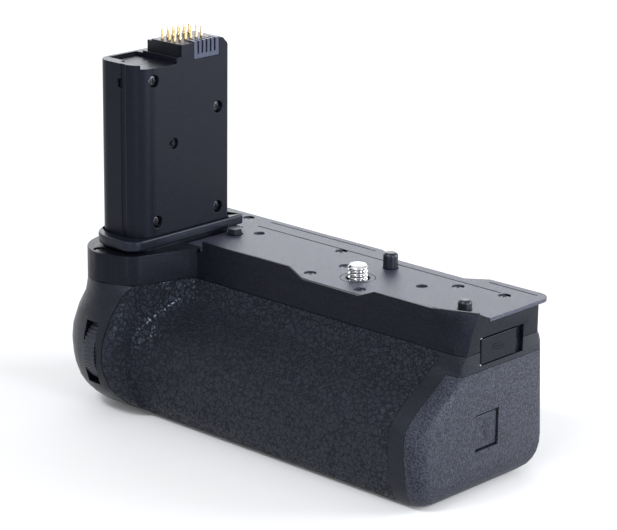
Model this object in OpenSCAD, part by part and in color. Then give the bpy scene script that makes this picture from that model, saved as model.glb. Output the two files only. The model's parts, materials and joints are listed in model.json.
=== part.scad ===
// Camera battery grip: a vertical grip that screws under a camera body, with a
// battery-shaped column that fills the camera's own battery bay.
// Origin: axis of the attachment screw, on the deck that meets the camera.
// X runs along the grip to the battery door, -Y is the hand-grip front, +Z is up.

/* [Deck] */
// End face of the grip, to the right of the screw axis
end_x = 53.7; // [52:0.1:56]
// Left wall of the casing, to the left of the screw axis
left_x = 89.9; // [89.4:0.1:90.6]
// Front wall of the top casing, ahead of the screw axis
front_y = 13.7; // [13:0.1:14.4]
// Rear wall of the top casing, behind the screw axis
rear_y = 23.4; // [23:0.1:24]
// How far the deck plate stands over the rear wall
deck_overhang = 4.3; // [3:0.1:5]
// Thickness of the deck plate
plate_t = 1.2; // [1:0.1:1.5]
// Height of the raised lips along the front edge
lip_h = 2.8; // [1.5:0.1:3.5]
// Thickness of the raised lips
lip_t = 1.2; // [1:0.1:1.6]

/* [Casing] */
// Height of the seam between the top and lower casings, below the deck
seam_z = 9.6; // [9:0.1:10.5]
// Depth of the whole grip below the deck
body_h = 54; // [53.4:0.1:54.6]
// Casing wall
wall_t = 2.2; // [1.8:0.1:2.4]
// Casing floor
floor_t = 2; // [1.6:0.1:2.4]
// Grip rubber thickness
rubber_t = 1.2; // [0.9:0.1:1.5]
// How far the hand-grip bulge stands ahead of the main grip
bulge_room = 9.3; // [9:0.1:9.6]
// Farthest left of the hand-grip bulge
bulge_x = 96.7; // [96:0.1:97.4]
// How far the main grip stands ahead of the battery packs
belly_room = 11.2; // [11:0.1:12]

/* [Column] */
// Width of the battery-shaped column
col_w = 20; // [19.5:0.1:20.5]
// Depth of the column
col_d = 39.5; // [39:0.1:40]
// Wide face of the column, to the left of the screw axis
col_face_x = 64.6; // [64:0.1:65.2]
// Front of the column, ahead of the screw axis
col_front_y = 30.3; // [30:0.1:30.6]
// Height of the column's front part
col_low_h = 59.8; // [57:0.1:61]
// Height of the raised contact end
col_top_h = 64.2; // [63.5:0.1:66]
// Wall of the column shells
col_wall = 1.6; // [1.4:0.1:1.8]
// Collar top
collar_top = 4.5; // [4:0.1:5.5]
// Collar underside
collar_gap = 1.2; // [0.8:0.1:1.6]

/* [Fastening] */
// Radius of the attachment screw, 1/4-20
screw_r = 3.175; // [3:0.005:3.3]
// Height of the attachment screw above the deck
screw_h = 4.3; // [3.5:0.1:5.5]
// Radius of the tall locating pin
pin_tall_r = 2.35; // [2:0.05:2.6]
// Height of the tall locating pin
pin_tall_h = 5; // [4:0.1:6]
// Radius of the short locating pin
pin_short_r = 2.1; // [1.8:0.05:2.3]
// Height of the short locating pin
pin_short_h = 3; // [2.4:0.1:4]
// Radius of a deck screw head
head_r = 1.8; // [1.6:0.05:1.9]
// Radius of a screw shank
shank_r = 0.9; // [0.8:0.05:1]
// Radius of the attachment wheel
wheel_r = 13; // [12.6:0.1:13.2]
// Thickness of the attachment wheel
wheel_t = 3.4; // [3:0.1:3.5]
// Bore of the tripod socket in the base
socket_r = 2.55; // [2.4:0.05:2.8]

/* [Battery tray] */
// Length of a battery pack
pack_l = 56; // [55.6:0.1:56.2]
// Depth of a battery pack
pack_d = 40; // [39.6:0.1:40.2]
// Height of a battery pack
pack_h = 20.5; // [20.2:0.1:20.7]
// Wall of the tray
tray_t = 0.8; // [0.7:0.05:0.9]
// Top seam of the battery door, below the deck
door_top = 15.4; // [15:0.1:15.8]
// Width of the latch button
latch_w = 10.2; // [9:0.1:11]
// Height of the latch button
latch_h = 11.2; // [10:0.1:12]

/* [Controls] */
// Radius of the front command dial
dial_r = 11.3; // [11:0.1:11.6]
// Width of the front command dial
dial_w = 4.8; // [4.4:0.1:5.2]
// Radius of the rear command dial
rear_dial_r = 9.8; // [9.4:0.1:10]
// Radius of the shutter button
shutter_r = 5; // [4.5:0.1:5.2]
// Radius of a large round button
big_btn_r = 3.6; // [3.2:0.1:3.8]
// Radius of a small round button
small_btn_r = 2.6; // [2.3:0.1:2.8]
// Width of the connector door
door_w = 17; // [16:0.1:17.4]
// Height of the connector door
door_h = 8.5; // [8:0.1:8.9]

/* [Hidden] */
$fn = 64;
slip = 0.05;      // running clearance round a turning or fixed shaft
gap = 0.15;       // clearance between fitted walls
eps = 0.01;

// Colours
graphite = "#2b2c31";
deck_grey = "#3b3b42";
grain_black = "#1b1b1e";
steel = "#9a9ca0";
gold = "#d4a24a";
green = "#20553a";

// Heights worked out from the deck down
deck_under = plate_t + 2.4;
wheel_top = deck_under + 0.6;
wheel_low = wheel_top + wheel_t;
gear_t = 1.5;
gear_low = wheel_low + 0.2 + gear_t;
bracket_top = gear_low + 0.3;
bracket_t = 1;
board_top = bracket_top + bracket_t + 3.2;
board_t = 1.2;
floor_z = body_h - floor_t;

// The casing's outline is written for a grip 54 deep. Below the finger groove, at 19, its depths
// move with the base, and above it they spread out to the seam
function deep(d) = d + (body_h - 54) * max(0, min(1, (d - seam_z) / (19 - seam_z)));
function sunk(table) = [for (row = table) [deep(row[0]), row[1]]];
pack_y = rear_y - 5.3 - pack_d;
belly_y = belly_room - pack_y;
bulge_y = belly_y + bulge_room;
wall_y = rear_y - 1;

// Hand-grip bulge: front and left reach against depth below the deck
lobe_cx = 74;
lobe_cy = 20;
lobe_front = sunk([[0, bulge_y - 3.6], [11, bulge_y - 3.6], [15, bulge_y - 3.3], [21, bulge_y - 1.9],
    [27, bulge_y - 0.3], [31, bulge_y], [36, bulge_y - 0.3], [39.6, bulge_y - 0.9], [43.6, bulge_y - 2.2],
    [47, bulge_y - 4.6], [50, bulge_y - 8.2], [52.1, bulge_y - 12.2], [54, bulge_y - 17]]);
lobe_left = sunk([[0, left_x - 0.4], [11, left_x - 0.2], [15, left_x + 0.8], [21, bulge_x - 2.3],
    [27, bulge_x - 0.4], [31, bulge_x], [36, bulge_x - 0.3], [39.6, bulge_x - 1], [43.6, bulge_x - 2.4],
    [47, bulge_x - 4.4], [50, bulge_x - 7.4], [52.1, bulge_x - 11], [54, bulge_x - 15]]);
belly = sunk([[seam_z - 1, front_y], [14, front_y + 0.1], [16, front_y + 1.5], [19, belly_y - 13.6],
    [23, belly_y - 7.1], [26, belly_y - 3.3], [28.8, belly_y - 1], [31, belly_y - 0.3], [36, belly_y],
    [41, belly_y - 0.6], [46.1, belly_y - 1.3], [49, belly_y - 2.2], [51.6, belly_y - 3.5],
    [53, belly_y - 4.9], [54, belly_y - 7.6]]);
back = sunk([[0, rear_y - 1.3], [seam_z, wall_y], [12, rear_y + 0.4], [44, rear_y + 2.3],
    [46.5, rear_y + 1.9], [49, rear_y + 0.5], [51.5, rear_y - 2.2], [52.8, rear_y - 4.6],
    [54, rear_y - 7]]);
end_reach = sunk([[0, end_x], [49, end_x], [51, end_x - 0.4], [52.4, end_x - 1.5], [54, end_x - 4]]);
from_rear = lookup(seam_z, back);
valley = sunk([[seam_z, 1.6], [14, 3], [20, 7], [27, 12], [34, 14], [44, 10], [54, 6]]);
flank_x = 57.5;
flank_lean = 0.31;
rubber_low = deep(52.3);
rubber_gap = 0.08;
rubber_edge_l = sunk([[seam_z, 63], [seam_z + 1, 64.6], [seam_z + 3.5, 66.2], [19, 68.6], [26, 70],
    [33, 70.8], [38, 70.5], [44, 69.2], [48, 67.5], [52.3, 65.5], [54, 65.5]]);
rubber_edge_r = sunk([[seam_z, 41.4], [seam_z + 0.6, 43.2], [11, 44.2], [12.4, 44.2], [13.4, 43.6],
    [15.5, 42], [54, 42]]);
base_levels = [for (d = [54, 53.6, 53]) deep(d)];
levels = concat(base_levels, [for (d = [51.6, 50.2, 48.4, 46, 43, 39.6, 36.5, 33.4, 31, 29, 27, 25,
    23, 21, 19, 17, 15, 13, 11, seam_z]) deep(d)]);

function flank(y) = flank_x + (y - front_y) * flank_lean;
function bend(p, q, r, t) = (1 - t) * (1 - t) * p + 2 * t * (1 - t) * q + t * t * r;

// Reaches of the outline at a depth below the deck, drawn in by inset
function front_reach(depth, inset) = lookup(depth, lobe_front) - inset;
function belly_reach(depth, inset) = lookup(depth, belly) - inset;
function turn_depth(yl, yf) = min(6, max(0.6, (yl - yf) * 0.75));
function turn_width(yl, b2, inset) = lobe_cx - 1 - flank(yl - b2) - inset;

// Curve from the front of the bulge round into the flank, starting at x_left, then the soft
// valley and the straight front as far as x_right
function front_curve(depth, inset, x_left, x_right) =
    let (yl = front_reach(depth, inset), yf = belly_reach(depth, inset), kf = lookup(depth, valley),
        b2 = turn_depth(yl, yf), w = turn_width(yl, b2, inset), xk = flank(yf) + inset,
        fy = min(kf, 0.8 * max(0.2, yl - b2 - yf)),
        t0 = asin(max(0, min(0.96, (lobe_cx - 1 - x_left) / w))))
    concat(
        [for (i = [0 : 6]) let (t = t0 + (90 - t0) * i / 6)
            [-lobe_cx + 1 + w * sin(t), -yl + b2 - b2 * cos(t)]],
        [for (t = [0 : 0.2 : 1]) bend([-flank(yf + fy) - inset, -yf - fy], [-xk, -yf], [-xk + kf, -yf], t)],
        [[x_right, -yf]]);

// Outline of the casing, with the front between the rubber's edges drawn in by recess
function casing_outline(depth, inset, recess = 0) =
    let (yl = front_reach(depth, inset), xl = lookup(depth, lobe_left) - inset,
        yf = belly_reach(depth, inset), yr = lookup(depth, back) - inset,
        xr = lookup(depth, end_reach) - inset, a = xl - lobe_cx, b = yl - lobe_cy,
        re = depth > door_top ? 5 : 1.6,
        x_left = lookup(depth, rubber_edge_l) + rubber_gap,
        x_right = lookup(depth, rubber_edge_r) + rubber_gap,
        outer = front_curve(depth, inset, x_left, x_right))
    concat(
        [for (t = [0 : 22.5 : 90]) [xr - 2.4 + 2.4 * cos(t), yr - 2.4 + 2.4 * sin(t)]],
        [for (t = [0 : 15 : 90]) [-xl + 7 - 7 * sin(t), yr - 7 + 7 * cos(t)]],
        [for (t = [0 : 10 : 90]) [-lobe_cx - a * pow(cos(t), 0.9), -lobe_cy - b * pow(sin(t), 0.9)]],
        recess > 0 ? [outer[0]] : [],
        front_curve(depth, inset + recess, x_left, x_right),
        recess > 0 ? [[x_right, -yf]] : [],
        [for (t = [0 : 15 : 90]) [xr - re + re * sin(t), -yf + re - re * cos(t)]]);

// Closed solid through rings of equal count, each given with its height. A ring that goes out along
// one curve and back along another has its two ends closed by a strip between them
module loft(rings, heights, strip = false) {
    n = len(rings[0]);
    m = len(rings);
    low_cap = strip ? [for (j = [0 : n / 2 - 2]) [j, j + 1, n - 2 - j, n - 1 - j]]
        : [[for (j = [0 : n - 1]) j]];
    points = [for (i = [0 : m - 1]) for (p = rings[i]) [p[0], p[1], heights[i]]];
    sides = [for (i = [0 : m - 2]) for (j = [0 : n - 1]) let (k = (j + 1) % n)
        each [[i * n + j, (i + 1) * n + k, i * n + k], [i * n + j, (i + 1) * n + j, (i + 1) * n + k]]];
    high_cap = [for (face = low_cap) [for (j = [len(face) - 1 : -1 : 0]) (m - 1) * n + face[j]]];
    polyhedron(points, concat(sides, low_cap, high_cap));
}
// Casing between the base and the seam. The loft runs past both, so that each end is one flat face
module casing_solid() {
    rows = concat([body_h + 2], levels, [seam_z - 2]);
    intersection() {
        loft([for (z = rows) casing_outline(z, 0)], [for (z = rows) -z]);
        casing_span(seam_z);
    }
}
module casing_span(top) {
    block([-left_x - 30, -60, -body_h], [end_x + 5, 60, -top]);
}
// The same casing with the rubber's seat drawn in
module shell_solid() {
    rubber_levels = [for (z = levels) if (z < rubber_low && z > seam_z) z];
    rows = concat([body_h + 2], base_levels, [rubber_low + 0.18, rubber_low + 0.08], rubber_levels,
        [seam_z + 0.05, seam_z - 2]);
    rings = [for (i = [0 : len(rows) - 1]) let (r = i < 5 ? 0.001 : rubber_t + slip)
        casing_outline(rows[i], 0, r)];
    intersection() {
        loft(rings, [for (z = rows) -z]);
        casing_span(seam_z + 0.05);
    }
}

// Boxes and bars given by their lowest and highest corners
module block(low, high) {
    translate(low) cube(high - low);
}
module bar_x(y, z, r, x0, x1) {
    translate([x0, y, z]) rotate([0, 90, 0]) cylinder(r = r, h = x1 - x0);
}
module bar_y(x, z, r, y0, y1) {
    translate([x, y1, z]) rotate([90, 0, 0]) cylinder(r = r, h = y1 - y0);
}
module bar_z(x, y, r, z0, z1) {
    translate([x, y, z0]) cylinder(r = r, h = z1 - z0);
}
// Upright prism with one radius for each corner: right-rear, left-rear, left-front, right-front
module prism(low, high, radii) {
    c = [[high[0] - radii[0], high[1] - radii[0]], [low[0] + radii[1], high[1] - radii[1]],
        [low[0] + radii[2], low[1] + radii[2]], [high[0] - radii[3], low[1] + radii[3]]];
    pts = [for (i = [0 : 3]) for (t = [0 : 9 : 90]) c[i] + radii[i] * [cos(t + 90 * i), sin(t + 90 * i)]];
    translate([0, 0, low[2]]) linear_extrude(high[2] - low[2]) polygon(pts);
}

// Deck fasteners, pins and their places
deck_screw_at = [[-70.1, rear_y + 0.5], [-22.4, rear_y - 6.3], [-13.6, -6.8], [-10.8, 6.1], [8.3, -8.5],
    [27.4, rear_y - 8.5], [43.1, rear_y - 5.7]];
deck_dimple_at = [[-54.7, 13.1], [19.5, 7.2]];
lobe_screw_at = [-78, 7 - bulge_y];
tall_at = [0.2, 14.9];
short_at = [43, -0.8];
stud_at = [-60, 7.1];
wheel_at = [13, rear_y - 10.2];
socket_at = [0, 0];
bush_r = 5.5;
neck_r = 2.8;
pin_seat = 0.45;
pin_room = 0.1;
stud_r = 2.6;
stud_shank_r = 1.2;
axle_r = 1.5;

module deck_outline() {
    r = 4.5;
    yb = rear_y + deck_overhang;
    notch_y = rear_y - 0.7;
    polygon(concat([[end_x, -2.2 + gap], [end_x, yb - r]],
        [for (t = [0 : 15 : 90]) [end_x - r + r * cos(t), yb - r + r * sin(t)]],
        [[29.9, yb - 0.3], [23.5, notch_y], [-2.9, notch_y], [-14.3, yb], [-left_x + r + 0.4, yb]],
        [for (t = [0 : 15 : 90]) [-left_x + 0.4 + r - r * sin(t), yb - r + r * cos(t)]],
        [[-left_x + 0.4, -11], [-56.35, -11], [-56.35, -front_y + lip_t + gap],
            [39.6, -front_y + lip_t + gap],
        [40.6, -front_y + lip_t + 0.5], [end_x - lip_t - gap, -6.9], [end_x - lip_t - gap, -2.2 + gap]]));
}
module deck_groove(x0, x1, y) {
    block([x0, y - 0.2, -0.6], [x1, y + 0.2, 1]);
}
module deck_plate() {
    color(deck_grey) difference() {
        translate([0, 0, -plate_t]) linear_extrude(plate_t) deck_outline();
        deck_groove(-61, 40.5, 19);
        deck_groove(-61, -15, 25.1);
        deck_groove(31.4, 50, 24.7);
        for (p = deck_screw_at) bar_z(p[0], p[1], head_r + gap, -plate_t - 1, 1);
        for (p = deck_dimple_at) bar_z(p[0], p[1], head_r, -0.7, 1);
        bar_z(tall_at[0], tall_at[1], pin_tall_r + pin_room, -plate_t - 1, 1);
        bar_z(short_at[0], short_at[1], pin_short_r + pin_room, -plate_t - 1, 1);
        bar_z(stud_at[0], stud_at[1], stud_r + pin_room, -plate_t - 1, 1);
        bar_z(0, 0, bush_r + slip, -plate_t - 1, 1);
        collar_rim(gap, -plate_t - 1, 1);
    }
}

// Lip along the front edge: full height away from the middle, ramped down beside it
module front_lip() {
    translate([0, -front_y + lip_t, 0]) rotate([90, 0, 0]) linear_extrude(lip_t)
        polygon([[-54, -plate_t], [-54, lip_h], [-16.7, lip_h], [-11.1, 0], [12.2, 0], [18.5, lip_h - 0.1],
            [end_x, lip_h - 0.1], [end_x, -plate_t]]);
    translate([end_x - lip_t, 0, 0]) rotate([90, 0, 90]) linear_extrude(lip_t)
        polygon([[-front_y, -plate_t], [-front_y, lip_h - 0.1], [-8, lip_h - 0.1], [-2.2, 0],
            [-2.2, -plate_t]]);
    translate([0, 0, -plate_t]) linear_extrude(lip_h - 0.1 + plate_t - eps)
        polygon([[42, -front_y], [end_x, -front_y], [end_x, -7], [39.6, -front_y + lip_t]]);
}
// Slanted facet that cuts the front right corner, wide at the lip and gone near the door seam
module corner_facet() {
    h = lip_h + 1;
    polyhedron([[39.6, -front_y - 0.01, h], [end_x + 0.01, -7.5, h], [end_x + 6, -front_y - 6, h],
        [end_x + 0.01, -front_y - 0.01, -13.5], [end_x + 0.01, -front_y - 6, -13.5],
        [end_x + 6, -front_y - 0.01, -13.5]],
        [[0, 1, 2], [0, 3, 1], [0, 2, 4], [0, 4, 3], [1, 5, 2], [1, 3, 5], [2, 5, 4], [3, 4, 5]]);
}

// Wall left thick behind the facet
module corner_fill() {
    translate([0, 0, -door_top - 2]) linear_extrude(door_top + 4)
        polygon([[41, -front_y - 1], [end_x + 1, -front_y - 1], [end_x + 1, -5.5]]);
}

// Connector door opening in the end face
port_y = 2.2;
port_z = -9.65;
port_low = [port_y - door_w / 2, port_z - door_h / 2];
port_high = [port_y + door_w / 2, port_z + door_h / 2];
door_t = 1.55;
hinge_x = end_x - door_t / 2;
hinge_y = port_low[0] + 0.93;
hinge_r = 0.5;
module port_cut() {
    block([end_x - door_t - 0.1, port_low[0] - 0.05, port_low[1]],
        [end_x + 1, port_high[0] + 0.1, port_high[1]]);
    block([end_x - 6, port_y - 5.5, port_z - 2.4], [end_x + 1, port_y + 5.5, port_z + 2.4]);
    block([end_x - 1.3, port_high[0], port_low[1]], [end_x + 1, port_high[0] + 3.1, port_high[1] - 0.1]);
    bar_z(hinge_x, hinge_y, hinge_r + 0.02, port_low[1] - 0.6, port_high[1] + 0.6);
}

// Attachment wheel slot in the rear wall
module wheel_slot() {
    block([wheel_at[0] - 11.4, wheel_at[1], -wheel_low - 0.3],
        [wheel_at[0] + 11.4, rear_y + 2, -wheel_top + 0.3]);
    bar_z(wheel_at[0], wheel_at[1], wheel_gear_r + 0.3, -seam_z - 1, -wheel_low);
}

module top_frame() {
    yb = rear_y + deck_overhang;
    color(graphite) difference() {
        union() {
            difference() {
                translate([0, 0, -seam_z]) linear_extrude(seam_z - plate_t)
                    polygon(casing_outline(seam_z, 0));
                difference() {
                    translate([0, 0, -seam_z - 1]) linear_extrude(seam_z + 1 - deck_under)
                        polygon(casing_outline(seam_z, wall_t));
                    corner_fill();
                }
            }
            intersection() {
                translate([0, 0, -plate_t - eps]) linear_extrude(plate_t + eps)
                    polygon(casing_outline(seam_z, 0));
                block([-left_x - 1, -bulge_y, -plate_t - 1], [-56.5, -11.2, 1]);
            }
            front_lip();
            // flange wedge under the overhanging deck
            for (r = [[-left_x + 5, -15], [31, end_x - 5]])
                translate([r[0], 0, 0]) rotate([90, 0, 90]) linear_extrude(r[1] - r[0])
                    polygon([[from_rear - 1, -deck_under - 1.4], [from_rear, -deck_under - 1.2],
                        [yb - 1, -plate_t - 0.6], [yb - 1, -plate_t], [from_rear - 1, -plate_t]]);
        }
        corner_facet();
        for (p = deck_screw_at) bar_z(p[0], p[1], shank_r + slip, -deck_under - 3, 1);
        bar_z(lobe_screw_at[0], lobe_screw_at[1], head_r + gap, -plate_t, 1);
        bar_z(lobe_screw_at[0], lobe_screw_at[1], shank_r + slip, -deck_under - 3, 1);
        bar_z(tall_at[0], tall_at[1], pin_tall_r - pin_seat + slip, -deck_under - 1, 1);
        bar_z(short_at[0], short_at[1], pin_short_r - pin_seat + slip, -deck_under - 1, 1);
        bar_z(stud_at[0], stud_at[1], stud_shank_r + slip, -deck_under - 1, 1);
        bar_z(0, 0, bush_r + slip, -deck_under - 1, 1);
        bar_z(wheel_at[0], wheel_at[1], axle_r + slip, -deck_under - 0.1, -deck_under + 1.2);
        column_solid(-gap, -seam_z, 1);
        wheel_slot();
        port_cut();
    }
}
module screw_bushing() {
    recess_r = screw_r + 0.575;
    color(steel) rotate_extrude() polygon([[neck_r + slip, -deck_under - 1.2],
        [neck_r + 1.4, -deck_under - 1.2],
        [neck_r + 1.4, -deck_under], [bush_r, -deck_under], [bush_r, 0],
        [recess_r, 0], [recess_r, -1.6], [neck_r + slip, -1.6]]);
}
module attachment_screw() {
    color("#c9cacd") {
        bar_z(0, 0, neck_r, -bracket_top - bracket_t, eps);
        bar_z(0, 0, screw_r, 0, screw_h - 0.7);
        translate([0, 0, screw_h - 0.7]) cylinder(r1 = screw_r, r2 = screw_r - 0.8, h = 0.7);
    }
}
// Spur gear with its tooth tips cut short, so that it clears its mate at every angle
module gear(r, teeth, bore) {
    depth = 0.5;
    pts = [for (i = [0 : teeth * 4 - 1]) let (rr = (i % 4 < 2) ? r : r - depth, t = i * 90 / teeth)
        [rr * cos(t), rr * sin(t)]];
    linear_extrude(gear_t) difference() {
        polygon(pts);
        circle(r = bore);
    }
}
gear_span = norm(wheel_at);
wheel_teeth = 21;
screw_teeth = 30;
screw_gear_r = gear_span * screw_teeth / (wheel_teeth + screw_teeth) - 0.1;
wheel_gear_r = gear_span * wheel_teeth / (wheel_teeth + screw_teeth) - 0.1;
module screw_gear() {
    color("#b98b4a") translate([0, 0, -gear_low]) gear(screw_gear_r, screw_teeth, neck_r + 0.02);
}
module attachment_wheel() {
    notches = 40;
    color(graphite) translate([wheel_at[0], wheel_at[1], 0]) {
        translate([0, 0, -gear_low]) gear(wheel_gear_r, wheel_teeth, axle_r + slip);
        translate([0, 0, -wheel_low - 0.2 - eps]) difference() {
            cylinder(r = 6, h = 0.2 + 2 * eps);
            translate([0, 0, -1]) cylinder(r = axle_r + slip, h = 3);
        }
        translate([0, 0, -wheel_low]) linear_extrude(wheel_t) difference() {
            circle(r = wheel_r);
            circle(r = axle_r + slip);
            for (i = [0 : notches - 1]) rotate(i * 360 / notches) translate([wheel_r + 0.15, 0])
                circle(r = 0.5, $fn = 16);
        }
    }
}
module wheel_axle() {
    color(steel) bar_z(wheel_at[0], wheel_at[1], axle_r, -bracket_top - bracket_t + 0.1, -deck_under + 1.1);
}
bracket_post_at = [[-12.5, 3], [14, -7.5], [-6, 15.5], [28, 6]];
module gear_bracket() {
    color(steel) {
        difference() {
            block([-14.5, -9.8, -bracket_top - bracket_t], [30, 18, -bracket_top]);
            bar_z(0, 0, neck_r + slip, -bracket_top - 2, -bracket_top + 1);
            bar_z(wheel_at[0], wheel_at[1], axle_r + 0.02, -bracket_top - 2, -bracket_top + 1);
        }
        for (p = bracket_post_at) bar_z(p[0], p[1], 1.5, -bracket_top - eps, -deck_under - 0.1);
    }
}
module screw_shape(length) {
    difference() {
        rotate_extrude() polygon([[0, -length], [shank_r, -length], [shank_r, 0], [head_r, 0], [head_r, 0.5],
            [head_r - 0.35, 0.8], [0, 0.8]]);
        for (a = [0, 90]) rotate(a) block([-1.1, -0.18, 0.35], [1.1, 0.18, 2]);
    }
}
module deck_screws() {
    color("#15151a") {
        for (p = deck_screw_at) translate([p[0], p[1], -plate_t]) screw_shape(deck_under - plate_t);
        translate([lobe_screw_at[0], lobe_screw_at[1], -plate_t]) screw_shape(deck_under - plate_t);
    }
}
module domed_pin(at, r, h) {
    translate([at[0], at[1], 0]) rotate_extrude() polygon([[0, -deck_under], [r - pin_seat, -deck_under],
        [r - pin_seat, 0.02], [r, 0.02], [r, h - 0.8], [r - 0.7, h], [0, h]]);
}
module locating_pin_tall() {
    color(graphite) domed_pin(tall_at, pin_tall_r, pin_tall_h);
}
module locating_pin_short() {
    color(graphite) domed_pin(short_at, pin_short_r, pin_short_h);
}
module index_stud() {
    color("#16161a") translate([stud_at[0], stud_at[1], 0]) {
        translate([0, 0, 0.02]) rotate(15) cylinder(r = stud_r, h = 2, $fn = 6);
        translate([0, 0, -deck_under]) cylinder(r = stud_shank_r, h = deck_under + 0.1);
    }
}

// Column that fills the camera's battery bay
col_left = -col_face_x - col_w;
col_right = -col_face_x;
col_lo = -col_front_y;
col_hi = -col_front_y + col_d;
col_split = col_right - 7.4;
col_base = -8;
col_roof = min(col_top_h - 10.2, col_low_h - 5.8);
block_front = col_lo + 18.3;
block_left = col_left + 4.4;
block_low = col_top_h - 8.2;
block_rear = col_hi - 2.7;
block_right = col_right - 1.5;
ledge_top = col_low_h + 0.7;
ledge_front = block_front - 2.1;
pocket_low = col_low_h - 1.2;
groove_w = 2;
groove_deep = 0.35;
module column_solid(inset, z0, z1) {
    prism([col_left + inset, col_lo + inset, z0], [col_right - inset, col_hi - inset, z1],
        [max(0.6, 1.4 - inset), 3 - inset, 5.5 - inset, 7 - inset]);
}
module column_full() {
    difference() {
        column_solid(0, col_base, col_top_h);
        block([col_left - 1, col_lo - 1, col_low_h], [block_left, col_hi + 1, col_top_h + 10]);
        block([col_left - 1, col_lo - 1, col_low_h], [col_right + 1, ledge_front, col_top_h + 10]);
        block([col_left - 1, ledge_front - 1, ledge_top], [col_right + 1, block_front, col_top_h + 10]);
        // pocket open to the wide face
        block([col_left + 1.6, col_lo + 4.3, pocket_low], [col_right + 1, ledge_front, ledge_top]);
        block([col_left + 9, col_lo + 2.4, pocket_low], [col_right + 1, col_lo + 6, ledge_top]);
        // rear top chamfer
        translate([-100, 0, 0]) rotate([90, 0, 90]) linear_extrude(50)
            polygon([[col_hi - 3, col_top_h + 0.1], [col_hi + 0.1, col_top_h - 3],
                [col_hi + 3, col_top_h + 3]]);
        // bay of the connector block
        block([block_left - gap, ledge_front - 1, ledge_top],
            [block_right + gap, block_front + 1, col_top_h + 1]);
        block([block_left - gap, block_front - gap, block_low - gap],
            [block_right + gap, block_rear + 0.1, col_top_h + 1]);
        // step down the narrow face, on both sides of the parting line
        block([col_split - groove_w / 2, col_lo - 1, -1],
            [col_split + groove_w / 2, col_lo + groove_deep, col_top_h]);
        // battery catch window in the narrow face
        block([col_split - 2.3, col_lo - 1, col_low_h - 7.6],
            [col_split - 0.4, col_lo + 1, col_low_h - 4.8]);
        difference() {
            column_solid(col_wall, col_base - 1, col_roof);
            for (p = column_screw_at) bar_x(p[0], p[1], 2.4, col_left, col_right);
        }
    }
}
column_screw_at = [[col_lo + 6.5, col_low_h - 5.3], [col_hi - 5.2, col_top_h - 22.3], [col_lo + 7.6, 9],
    [col_hi - 5.3, 8.9]];
module column_body() {
    color(graphite) difference() {
        union() {
            intersection() {
                column_full();
                block([col_left - 1, col_lo - 1, col_base - 1], [col_split, col_hi + 1, col_top_h + 1]);
            }
            difference() {
                intersection() {
                    block([col_left - 2.5, col_lo - 2, -deck_under - 1.4],
                        [col_split, col_hi + 2.5, -deck_under - 0.1]);
                    translate([0, 0, -seam_z]) linear_extrude(seam_z)
                        polygon(casing_outline(seam_z, wall_t + 0.4));
                }
                column_solid(col_wall, -20, 20);
            }
        }
        for (p = column_screw_at) bar_x(p[0], p[1], shank_r + slip, col_left + 3, col_split + 1);
    }
}
module column_cover() {
    color("#303139") difference() {
        intersection() {
            column_full();
            block([col_split + 0.1, col_lo - 1, col_base - 1], [col_right + 1, col_hi + 1, col_top_h + 1]);
        }
        for (p = column_screw_at) {
            bar_x(p[0], p[1], head_r + gap, col_right - 1.7, col_right + 1);
            bar_x(p[0], p[1], shank_r + slip, col_split - 1, col_right + 1);
        }
        difference() {
            bar_x(col_lo + 14.8, col_top_h - 31, 1.8, col_right - 0.9, col_right + 1);
            bar_x(col_lo + 14.8, col_top_h - 31, 0.8, col_right - 2, col_right - 0.3);
        }
        // seat of the contact comb
        block([col_right - 1, comb_lo - gap, comb_z - gap], [col_right + 1, comb_hi + gap, col_top_h + 1]);
    }
}
comb_lo = col_lo + 23.8;
comb_hi = col_hi - 4.8;
comb_z = col_top_h - 5.3;
comb_left = col_right - 0.9;
comb_back = col_right - 3.6;
module contact_comb() {
    slots = 5;
    pitch = (comb_hi - comb_lo) / (slots + 1);
    color("#5b6676") difference() {
        union() {
            block([comb_left, comb_lo, comb_z], [col_right, comb_hi, col_top_h]);
            block([comb_back, comb_lo, col_top_h + 0.02], [col_right, comb_hi, col_top_h + 0.35]);
            block([comb_left, comb_lo, col_top_h - 1], [col_right, comb_hi, col_top_h + 0.35]);
        }
        for (i = [1 : slots]) block([comb_back - 1, comb_lo + i * pitch - 0.38, comb_z + 1.5],
            [col_right + 1, comb_lo + i * pitch + 0.38, col_top_h + 1]);
    }
}
module connector_block() {
    color("#121216") {
        block([block_left, block_front, block_low], [block_right, block_rear, col_top_h - 0.5]);
        block([block_left + 1.9, block_front, block_low], [block_right, block_rear, col_top_h]);
    }
}
pin_pitch = 2.34;
pin_rows = [col_right - 5.6, col_right - 8, col_right - 11.2];
module connector_pins() {
    color(gold) for (x = pin_rows) for (j = [0 : 5])
        translate([x, block_front + 2.4 + j * pin_pitch, col_top_h]) {
            cylinder(r = 0.46, h = 3.1, $fn = 24);
            translate([0, 0, 3.1]) cylinder(r1 = 0.46, r2 = 0.2, h = 0.3, $fn = 24);
        }
}
module column_screws() {
    color("#15151a") for (p = column_screw_at) translate([col_right - 1.7, p[0], p[1]]) rotate([0, 90, 0])
        screw_shape(9);
}
module column_board() {
    color(green) {
        block([col_split - 5.4, col_lo + 10.3, col_base + 0.5],
            [col_split - 4.2, col_hi - 8, col_roof - 2.5]);
        block([col_split - 4.2 - eps, col_lo + 14.3, 20], [col_split - 2.8, col_lo + 22.3, 28]);
    }
}
module collar_rim(grow, z0, z1) {
    prism([col_left - 1.1 - grow, col_lo - 4.7 - grow, z0],
        [col_right + 1.2 + grow, col_hi + 5.3 + grow, z1],
        [0.6, 6, 11, 5]);
}
module column_collar() {
    color("#34353d") difference() {
        union() {
            collar_rim(0, collar_gap, collar_top);
            prism([col_left + 0.6, col_lo - 1.2, 0.02], [col_right - 0.8, col_hi + 2.8, collar_gap + eps],
                [1, 4, 6, 5]);
        }
        column_solid(-gap, -5, 10);
    }
}

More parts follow.
